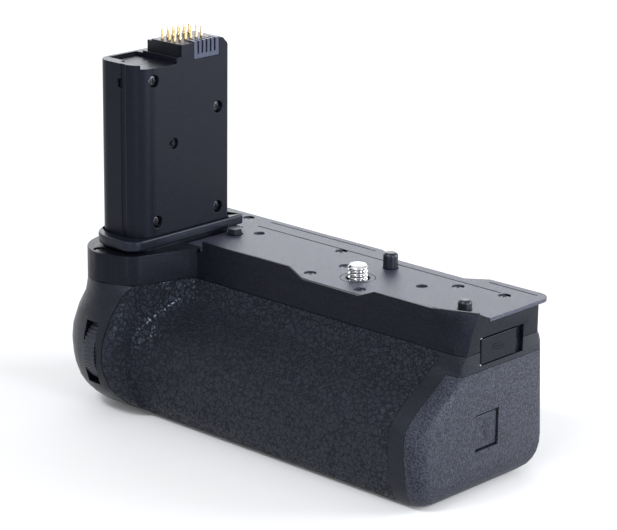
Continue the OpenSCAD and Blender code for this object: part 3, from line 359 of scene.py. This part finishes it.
frame_plastic = moulded("frame_plastic", (0.002, 0.0023, 0.004), (0.006, 0.0068, 0.011),
                        rough=0.33, grain=0.5 * MM, depth=0.12 * MM, specular=0.13)
bm = merged("top_frame")
for vertex in bm.verts:
    x, y = (vertex.co / MM).xy
    if tiny_x[0] < x < tiny_x[1] and tiny_y[0] < y < tiny_y[1]:
        vertex.co.xy = (lobe_corner[0] * MM, lobe_corner[1] * MM)
bmesh.ops.remove_doubles(bm, verts=bm.verts, dist=weld)
soften(bm, facet_round, facet_side, 5)
soften(bm, lobe_round, lobe_edge, 6)
soften(bm, rim_round, lambda e: edge_angle(e) > crease)
mesh = bpy.data.meshes.new("top_frame_look")
bm.to_mesh(mesh)
bm.free()
round_over(stand_for(mesh, "top_frame", frame_plastic), 2.6 * MM, 0.6, large_face)

# Deck plate. A thin grained plate that meets the camera, with long grooves and countersunk screws.
# Their floors and walls are painted near-black: painted shade for the shade inside the narrow, deep grooves.
deck_plastic = moulded("deck_plastic", (0.008, 0.008, 0.014), (0.06, 0.06, 0.09),
                       rough=0.38, grain=0.5 * MM, depth=0.22 * MM, specular=0.45)
# A near-black material for painted shade in grooves and gaps. It is not a colour that the part has.
painted_shade_black = moulded("painted_shade_black", (0.001, 0.001, 0.0015), (0.002, 0.002, 0.003),
                     rough=0.8, grain=0.5 * MM, depth=0.01 * MM, specular=0.05)
groove_y = (18, 26.2)
groove_z = (-1.0, -0.15)


def paint_shade(made, chosen):
    """Paints the chosen faces near-black: painted shade, for the shade in deep grooves and narrow gaps."""
    made.data.materials.append(painted_shade_black)
    for face in made.data.polygons:
        if chosen(face.center / MM, face.normal):
            face.material_index = 1


def in_groove(at, facing):
    """The floors and long walls of the grooves, from places in mm, that take painted shade."""
    below = groove_z[0] < at.z < groove_z[1] and groove_y[0] < at.y < groove_y[1]
    return below and (facing.z > 0.9 or abs(facing.y) > 0.9)


paint_shade(dress("deck_plate", deck_plastic, 0.12), in_groove)

# Locating pins and index stud. Smooth moulded posts that find the sockets under the camera, and a
# small hexagonal stud beside the column.
post_plastic = moulded("post_plastic", (0.006, 0.006, 0.008), (0.011, 0.011, 0.014),
                       rough=0.34, grain=0.4 * MM, depth=0.02 * MM, specular=0.5)
dress("locating_pin_tall", post_plastic, 0.25)
dress("locating_pin_short", post_plastic, 0.2)
dress("index_stud", post_plastic, 0.15)


# Attachment screw. A chromed 1/4-20 screw in a dark bush, turned through gears by the wheel at the
# back. Its rolled thread shows above the deck, under a plain band and a chamfered flat top.
thread_r = 3.175 * MM
root_r = 2.45 * MM
pitch = 1.27 * MM
thread_foot = -1.4 * MM
band = 1.0 * MM
band_rise = 0.12 * MM
fade_end = 0.9 * MM
fade = 0.5 * MM
chamfer = 0.75 * MM
chamfer_slope = 0.9
around_screw = 72
steps_a_turn = 16


def metal(name, color, rough):
    """Plated or blackened metal with a faint mottle."""
    material, shader, place = new_material(name)
    fine = place.noise(0.5 * MM, 3.0, 0.6)
    plug(shader, Base_Color=fine.ramp(0.3, 0.7).mix([c * 0.9 for c in color], color), Metallic=1.0,
         Roughness=fine.ramp(0.3, 0.7, rough * 0.85, rough * 1.2), Normal=fine.bump(0.002 * MM))
    return material


def lathed(name, rings):
    """A closed skin about Z over rings of (radius, height) pairs, foot to tip."""
    bm = bmesh.new()
    verts = []
    for ring in rings:
        turns = [2 * math.pi * k / len(ring) for k in range(len(ring))]
        verts.append([bm.verts.new((r * math.cos(t), r * math.sin(t), z)) for t, (r, z) in zip(turns, ring)])
    for lower, upper in zip(verts, verts[1:]):
        for k in range(len(lower)):
            n = (k + 1) % len(lower)
            bm.faces.new((lower[k], lower[n], upper[n], upper[k]))
    bmesh.ops.remove_doubles(bm, verts=bm.verts, dist=0.001 * MM)
    bmesh.ops.recalc_face_normals(bm, faces=bm.faces)
    mesh = bpy.data.meshes.new(name)
    bm.to_mesh(mesh)
    bm.free()
    return mesh


def crest_at(z, share, top):
    """How far the thread stands out, from 0 to 1, at a height and a share of a turn."""
    phase = (z / pitch - share) % 1.0
    crest = 0.5 + 0.5 * math.cos((phase - 0.5) * 2 * math.pi)
    crest *= min(1.0, max(0.0, (top - fade_end - z) / fade))
    if z > top - band:
        crest = max(crest, min(1.0, (z - top + band) / band_rise))
    return crest


def threaded_screw(name, foot, top):
    """A screw turned as one skin: foot, neck, thread and chamfered flat top."""
    rings = []
    for radius, z in ((0.0, foot), (root_r, foot), (root_r, thread_foot - 0.2 * MM)):
        rings.append([(radius, z)] * around_screw)
    step = pitch / steps_a_turn
    for z in np.arange(thread_foot, top + step / 2, step):
        widest = thread_r - max(0.0, z - (top - chamfer)) * chamfer_slope
        ring = []
        for k in range(around_screw):
            radius = root_r + (thread_r - root_r) * crest_at(z, k / around_screw, top)
            ring.append((min(radius, widest), z))
        rings.append(ring)
    for radius in (thread_r - chamfer, 0.0):
        rings.append([(radius, top)] * around_screw)
    return lathed(name, rings)


chrome = metal("chrome", (0.6, 0.6, 0.62), 0.16)
low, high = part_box("attachment_screw")
stand_for(threaded_screw("thread", low.z, high.z), "attachment_screw", chrome, math.radians(75))
dress("screw_bushing", deck_plastic, 0.3)

# Column. Two satin shells shaped like a battery, screwed together through the wide face, in a
# softly edged collar. The parting edges stay sharp, because the shells meet there.
parting_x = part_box("column_cover")[0].x
column_plastic = moulded("column_plastic", (0.003, 0.0033, 0.006), (0.006, 0.0068, 0.011),
                         rough=0.33, grain=0.4 * MM, depth=0.04 * MM, specular=0.13)
collar_plastic = moulded("collar_plastic", (0.004, 0.0045, 0.008), (0.008, 0.009, 0.014),
                         rough=0.34, grain=0.4 * MM, depth=0.03 * MM, specular=0.22)


def off_parting(edge):
    """Any edge but those round the plane where the two shells meet."""
    first, second = (v.co.x for v in edge.verts)
    return abs(first - second) > 0.01 * MM or abs(first - parting_x) > 0.6 * MM


for name in ("column_body", "column_cover"):
    dress(name, column_plastic, 0.2, off_parting)
dress("column_collar", collar_plastic, 0.6)

# Connector. A black block with sprung gold pins, and a grey comb over the contacts at its edge.
# Each pin is a turned barrel with a thinner plunger and a rounded tip.
block_plastic = moulded("block_plastic", (0.003, 0.003, 0.004), (0.006, 0.006, 0.008),
                        rough=0.36, grain=0.3 * MM, depth=0.01 * MM)
comb_plastic = moulded("comb_plastic", (0.03, 0.036, 0.055), (0.045, 0.053, 0.08),
                       rough=0.38, grain=0.3 * MM, depth=0.01 * MM)
dress("connector_block", block_plastic, 0.12)
dress("contact_comb", comb_plastic, 0.06)


def tree_with(name, **sizes):
    """An empty Geometry Nodes tree with a geometry socket each way and named size inputs."""
    tree = bpy.data.node_groups.new(name, "GeometryNodeTree")
    tree.interface.new_socket("Geometry", in_out="INPUT", socket_type="NodeSocketGeometry")
    ids = {}
    for key, kind in sizes.items():
        ids[key] = tree.interface.new_socket(key, in_out="INPUT", socket_type=kind).identifier
    tree.interface.new_socket("Geometry", in_out="OUTPUT", socket_type="NodeSocketGeometry")
    return tree, ids


def set_out_tree():
    """Puts one small solid at every point of a mesh, turned to the point's normal."""
    tree, ids = tree_with("set_out", Piece="NodeSocketObject", Finish="NodeSocketMaterial",
                          Size="NodeSocketFloat")
    given = tree.nodes.new("NodeGroupInput")
    info = tree.nodes.new("GeometryNodeObjectInfo")
    normal = tree.nodes.new("GeometryNodeInputNamedAttribute")
    align = tree.nodes.new("FunctionNodeAlignEulerToVector")
    place = tree.nodes.new("GeometryNodeInstanceOnPoints")
    real = tree.nodes.new("GeometryNodeRealizeInstances")
    finish = tree.nodes.new("GeometryNodeSetMaterial")
    out = tree.nodes.new("NodeGroupOutput")
    normal.data_type = "FLOAT_VECTOR"
    normal.inputs["Name"].default_value = "facing"
    align.axis = "Z"
    link = tree.links.new
    link(given.outputs["Piece"], info.inputs["Object"])
    link(given.outputs["Geometry"], place.inputs["Points"])
    link(info.outputs["Geometry"], place.inputs["Instance"])
    link(normal.outputs["Attribute"], align.inputs["Vector"])
    link(align.outputs["Rotation"], place.inputs["Rotation"])
    link(given.outputs["Size"], place.inputs["Scale"])
    link(place.outputs["Instances"], real.inputs["Geometry"])
    link(real.outputs["Geometry"], finish.inputs["Geometry"])
    link(given.outputs["Finish"], finish.inputs["Material"])
    link(finish.outputs["Geometry"], out.inputs["Geometry"])
    return tree, ids


set_out, set_out_ids = set_out_tree()


def turned(name, profile, around):
    """A solid of revolution from (radius, height) pairs, foot to tip."""
    return bpy.data.objects.new(name, lathed(name, [[point] * around for point in profile]))


def spread(name, piece, places, facing, finish, node):
    """Repeats a small solid at its places, all facing one way, as one piece that stands for a node."""
    mesh = bpy.data.meshes.new(name)
    mesh.from_pydata([tuple(p) for p in places], [], [])
    ways = mesh.attributes.new("facing", "FLOAT_VECTOR", "POINT")
    ways.data.foreach_set("vector", list(facing) * len(places))
    host = bpy.data.objects.new(name, mesh)
    bpy.context.scene.collection.objects.link(host)
    bpy.context.scene.collection.objects.link(piece)
    modifier = host.modifiers.new("set_out", "NODES")
    modifier.node_group = set_out
    modifier[set_out_ids["Piece"]] = piece
    modifier[set_out_ids["Finish"]] = finish
    modifier[set_out_ids["Size"]] = 1.0
    settle(host)
    stand_for(host.data, node, finish)
    bpy.data.objects.remove(host)
    bpy.data.objects.remove(piece)


def islands_of(node):
    """The low and high corners of each loose solid in a CAD node."""
    bm = merged(node)
    bm.verts.ensure_lookup_table()
    left = set(bm.verts)
    found = []
    while left:
        start = left.pop()
        group = [start]
        rim = [start]
        while rim:
            vertex = rim.pop()
            for e in vertex.link_edges:
                other = e.other_vert(vertex)
                if other in left:
                    left.remove(other)
                    group.append(other)
                    rim.append(other)
        low = Vector([min(v.co[i] for v in group) for i in range(3)])
        high = Vector([max(v.co[i] for v in group) for i in range(3)])
        found.append((low, high))
    bm.free()
    return sorted(found, key=lambda box: tuple(round(x, 6) for x in box[0]))


gold = metal("gold", (0.5, 0.37, 0.19), 0.26)
pin_boxes = islands_of("connector_pins")
pin_h = pin_boxes[0][1].z - pin_boxes[0][0].z
barrel_r = 0.46 * MM
barrel_h = 1.1 * MM
plunger_r = 0.3 * MM
tip_r = 0.22 * MM
point_r = 0.1 * MM
barrel = [(0, 0), (barrel_r, 0), (barrel_r, barrel_h)]
plunger = [(plunger_r, barrel_h + 0.25 * MM), (plunger_r, pin_h - 0.35 * MM)]
tip = [(tip_r, pin_h - 0.1 * MM), (point_r, pin_h), (0, pin_h)]
pin_feet = [((a.x + b.x) / 2, (a.y + b.y) / 2, a.z) for a, b in pin_boxes]
spread("pins", turned("pin", barrel + plunger + tip, 16), pin_feet, (0, 0, 1), gold, "connector_pins")

# Case screws. Small blackened cross-head screws that hold the deck, the column, the base and the
# rear cover. They share one head and differ in length.
head_r = 1.8 * MM
head_h = 0.8 * MM
shank_r = 0.9 * MM
head_round = 0.35 * MM
head_cut = 0.12 * MM
cross_long = 1.3 * head_r
cross_wide = 0.26 * head_r
cross_deep = 1.1 * MM
cross_taper = 0.55


def cross_head(name, length):
    """Pan head with a cross recess, its seat at z 0 and its shank below."""
    shank = [(0, -length), (shank_r, -length), (shank_r, 0)]
    side = [(head_r, 0), (head_r, head_h - head_round)]
    crown = [(head_r - head_cut, head_h - head_cut), (head_r - head_round, head_h), (0, head_h)]
    head = turned(name, shank + side + crown, 32)
    cutter_mesh = bpy.data.meshes.new("cross")
    bm = bmesh.new()
    for turn in (0, math.pi / 2):
        at_top = Matrix.Rotation(turn, 4, "Z") @ Matrix.Translation((0, 0, head_h))
        bar = at_top @ Matrix.Diagonal((cross_long, cross_wide, cross_deep, 1))
        for v in bmesh.ops.create_cube(bm, size=1.0, matrix=bar)["verts"]:
            if v.co.z < head_h:
                v.co.x *= cross_taper
                v.co.y *= cross_taper
    bm.to_mesh(cutter_mesh)
    bm.free()
    cutter = bpy.data.objects.new("cross", cutter_mesh)
    bpy.context.scene.collection.objects.link(cutter)
    bpy.context.scene.collection.objects.link(head)
    cut = head.modifiers.new("cut", "BOOLEAN")
    cut.object = cutter
    cut.operation = "DIFFERENCE"
    cut.solver = "EXACT"
    cut.use_self = True
    settle(head)
    bpy.data.objects.remove(cutter)
    bpy.context.scene.collection.objects.unlink(head)
    return head


screw_black = metal("screw_black", (0.045, 0.045, 0.052), 0.26)
for node, axis, length in (("deck_screws", (0, 0, 1), 2.4), ("column_screws", (1, 0, 0), 9.0),
                           ("base_screws", (0, 0, -1), 1.15), ("rear_screws", (0, 1, 0), 2.6)):
    spots = []
    for a, b in islands_of(node):
        tip = Vector([(b if axis[i] > 0 else a)[i] if axis[i] else (a[i] + b[i]) / 2 for i in range(3)])
        spots.append(tip - Vector(axis) * head_h)
    spread(node + "_set", cross_head(node + "_head", length * MM), spots, axis, screw_black, node)

# Dials and wheel. Ribbed plastic wheels that turn on axles under a thumb or finger, and the wheel at
# the back that drives the attachment screw.
dial_plastic = moulded("dial_plastic", (0.01, 0.01, 0.013), (0.018, 0.018, 0.022),
                       rough=0.38, grain=0.3 * MM, depth=0.015 * MM, specular=0.5)
for name in ("sub_command_dial", "main_command_dial", "attachment_wheel"):
    dress(name, dial_plastic, 0.12)

# Buttons, lever and stick. Satin caps that move in the casing, a small grained thumb stick, and the
# screwed rear cover that the thumb's controls come through.
button_plastic = moulded("button_plastic", (0.01, 0.01, 0.013), (0.016, 0.016, 0.02),
                         rough=0.36, grain=0.3 * MM, depth=0.015 * MM, specular=0.5)
for name in ("shutter_button", "lock_lever", "af_button", "info_button", "iso_button", "exposure_button"):
    dress(name, button_plastic, 0.25)
dress("pointer_stick", leather_rubber, 0.4)
dress("rear_cover", casing_plastic, 0.2)

# Connector door. A flush plastic flap in the end face, hinged on a pin, with a finger notch beside
# it. A thin raised line in the shape of a connector is moulded on it.
line_rise = 0.09 * MM
line_root = 0.1 * MM
bar_points = 24


def raised_loop(bm, outer, inner, low, high):
    """Adds a raised closed line between two outlines, given in mm from the middle of a panel."""
    middle = (low + high) / 2
    root_x = high.x - line_root
    top_x = root_x + line_rise
    rings = []
    for outline, x in ((outer, root_x), (outer, top_x), (inner, top_x), (inner, root_x)):
        rings.append([bm.verts.new((x, middle.y + y * MM, middle.z + z * MM)) for y, z in outline])
    for first, second in zip(rings, rings[1:] + rings[:1]):
        for i in range(len(first)):
            j = (i + 1) % len(first)
            bm.faces.new((first[i], first[j], second[j], second[i]))


def stadium(half_long, radius):
    """The outline of a bar with round ends."""
    points = []
    for i in range(bar_points):
        angle = 2 * math.pi * (i + 0.5) / bar_points
        side = 1 if math.cos(angle) > 0 else -1
        points.append((side * half_long + radius * math.cos(angle), radius * math.sin(angle)))
    return points


def connector_mark(bm, low, high):
    raised_loop(bm, stadium(1.5, 1.15), stadium(1.5, 0.8), low, high)
    raised_loop(bm, stadium(1.1, 0.28), stadium(1.1, 0.08), low, high)


def panel_side(at, facing):
    """The faces round a panel in the end face, which take painted shade for the gap round it."""
    return abs(facing.x) < 0.5


# The faces round the door get painted shade, near-black, for the shade in the gap round it.
paint_shade(dress("usb_door", frame_plastic, 0.18, gap=0.26, mark=connector_mark), panel_side)


# Latch button. A button with soft edges that is pressed to free the tray, set in a square well in
# the battery door, with a thin raised arrow on it.
def arrow_mark(bm, low, high):
    outer = [(-0.6, -3.2), (0.6, -3.2), (0.6, 0.4), (2.4, 0.4), (0, 3.2), (-2.4, 0.4), (-0.6, 0.4)]
    inner = [(-0.25, -2.85), (0.25, -2.85), (0.25, 0.75), (1.6, 0.75), (0, 2.65), (-1.6, 0.75),
             (-0.25, 0.75)]
    raised_loop(bm, outer, inner, low, high)


# The button's side faces get painted shade, near-black, for the shade in the gap round it.
paint_shade(dress("tray_latch_button", door_plastic, 0.3, gap=0.38, mark=arrow_mark), panel_side)

# Inside. Boards, gears, packs and contacts that show only when the tray is out or the door is open.
# Each takes the finish that its slot in the record names.
steel = metal("steel", (0.5, 0.5, 0.52), 0.34)
brass = metal("brass", (0.72, 0.52, 0.25), 0.3)
inner_plastic = moulded("inner_plastic", (0.03, 0.03, 0.034), (0.045, 0.045, 0.05),
                        rough=0.5, grain=0.4 * MM, depth=0.02 * MM)
pack_plastic = moulded("pack_plastic", (0.05, 0.05, 0.056), (0.07, 0.07, 0.08),
                       rough=0.42, grain=0.4 * MM, depth=0.02 * MM)
board_green = moulded("board_green", (0.01, 0.09, 0.045), (0.02, 0.14, 0.07),
                      rough=0.3, grain=0.6 * MM, depth=0.01 * MM, specular=0.5)
cable_amber = moulded("cable_amber", (0.4, 0.17, 0.04), (0.5, 0.24, 0.07),
                      rough=0.3, grain=0.8 * MM, depth=0.01 * MM, specular=0.5)
looks = {"steel": steel, "gold": gold, "gear_brass": brass, "board_green": board_green,
         "cable_amber": cable_amber, "chamber_plastic": inner_plastic, "pack_plastic": pack_plastic}
for name, node in frame["nodes"].items():
    if not node.hide_render and slots[name] in looks:
        dress(name, looks[slots[name]])


# Stage. A pale floor under the grip, a white backdrop and plain soft light from five panels, most of
# it from the front and the right.
floor_half = 3.0
floor_gap = 0.1 * MM
lamp_white = (0.93, 0.95, 1.0)
sky_fill = 0.6


def soft_box(name, away, target, size, radiance):
    """A rectangular lamp at a direction and distance from its target, as bright as radiance."""
    data = bpy.data.lights.new(name, "AREA")
    data.shape = "RECTANGLE"
    data.size = size[0]
    data.size_y = size[1]
    data.color = lamp_white
    data.energy = radiance * math.pi * size[0] * size[1]
    made = bpy.data.objects.new(name, data)
    made.location = Vector(target) + Vector(away)
    made.rotation_mode = "QUATERNION"
    made.rotation_quaternion = Vector(away).to_track_quat("Z", "Y")
    bpy.context.scene.collection.objects.link(made)


centre = (rest_box[0] + rest_box[1]) / 2
soft_box("rear_soft", (-0.66, 0.74, 0.36), centre, (1.2, 0.5), 2.6)
soft_box("front_top", (-0.05, -0.64, 0.74), centre, (0.32, 0.17), 28.0)
soft_box("front_low", (0.36, -0.86, 0.16), centre, (0.14, 0.4), 12.0)
soft_box("right_low", (0.95, -0.1, 0.14), centre, (0.22, 0.36), 26.0)
soft_box("right_rear", (0.6, 0.66, 0.22), centre, (0.5, 0.36), 15.0)

floor_mesh = bpy.data.meshes.new("floor")
bm = bmesh.new()
bmesh.ops.create_grid(bm, x_segments=1, y_segments=1, size=floor_half)
bm.to_mesh(floor_mesh)
bm.free()
floor = bpy.data.objects.new("floor", floor_mesh)
floor.location = (0, 0, rest_box[0].z - floor_gap)
bpy.context.scene.collection.objects.link(floor)
floor_look, floor_shader, _ = new_material("floor")
plug(floor_shader, Base_Color=(0.84, 0.84, 0.835, 1), Roughness=0.9, Specular_IOR_Level=0.1)
floor_mesh.materials.append(floor_look)

world = bpy.data.worlds.new("world")
bpy.context.scene.world = world
world.use_nodes = True
sky = Sock(world.node_tree)
seen = sky.node("ShaderNodeLightPath", {}, "Is Camera Ray")
for ray in ("Is Glossy Ray", "Is Transmission Ray"):
    seen = seen.math("MAXIMUM", sky.node("ShaderNodeLightPath", {}, ray))
white = sky.node("ShaderNodeBackground", {"Color": (1, 1, 1, 1), "Strength": 1.0})
dim = sky.node("ShaderNodeBackground", {"Color": (1, 1, 1, 1), "Strength": sky_fill})
both = sky.node("ShaderNodeMixShader", {0: seen, 1: dim, 2: white})
world.node_tree.links.new(both.out, world.node_tree.nodes["World Output"].inputs["Surface"])

# Camera. Placed, turned and zoomed as the photo's vanishing points and the screw's size put it.
# Lens and sensor are in mm, the eye in metres.
lens = bpy.data.cameras.new("camera")
lens.lens = 142.2
lens.sensor_width = 36.0
lens.clip_start = 0.01
lens.clip_end = 20.0
camera = bpy.data.objects.new("camera", lens)
eye = Vector((0.4725, -0.5320, 0.2222))
rightward = Vector((0.7310, 0.6824, 0.0115))
ahead = Vector((-0.6499, 0.7011, -0.2935)).normalized()
up = rightward.cross(ahead).normalized()
turn = Matrix((ahead.cross(up), up, -ahead)).transposed()
camera.matrix_world = Matrix.Translation(eye) @ turn.to_4x4()
bpy.context.scene.collection.objects.link(camera)
bpy.context.scene.camera = camera
bpy.context.scene.view_settings.view_transform = "Standard"
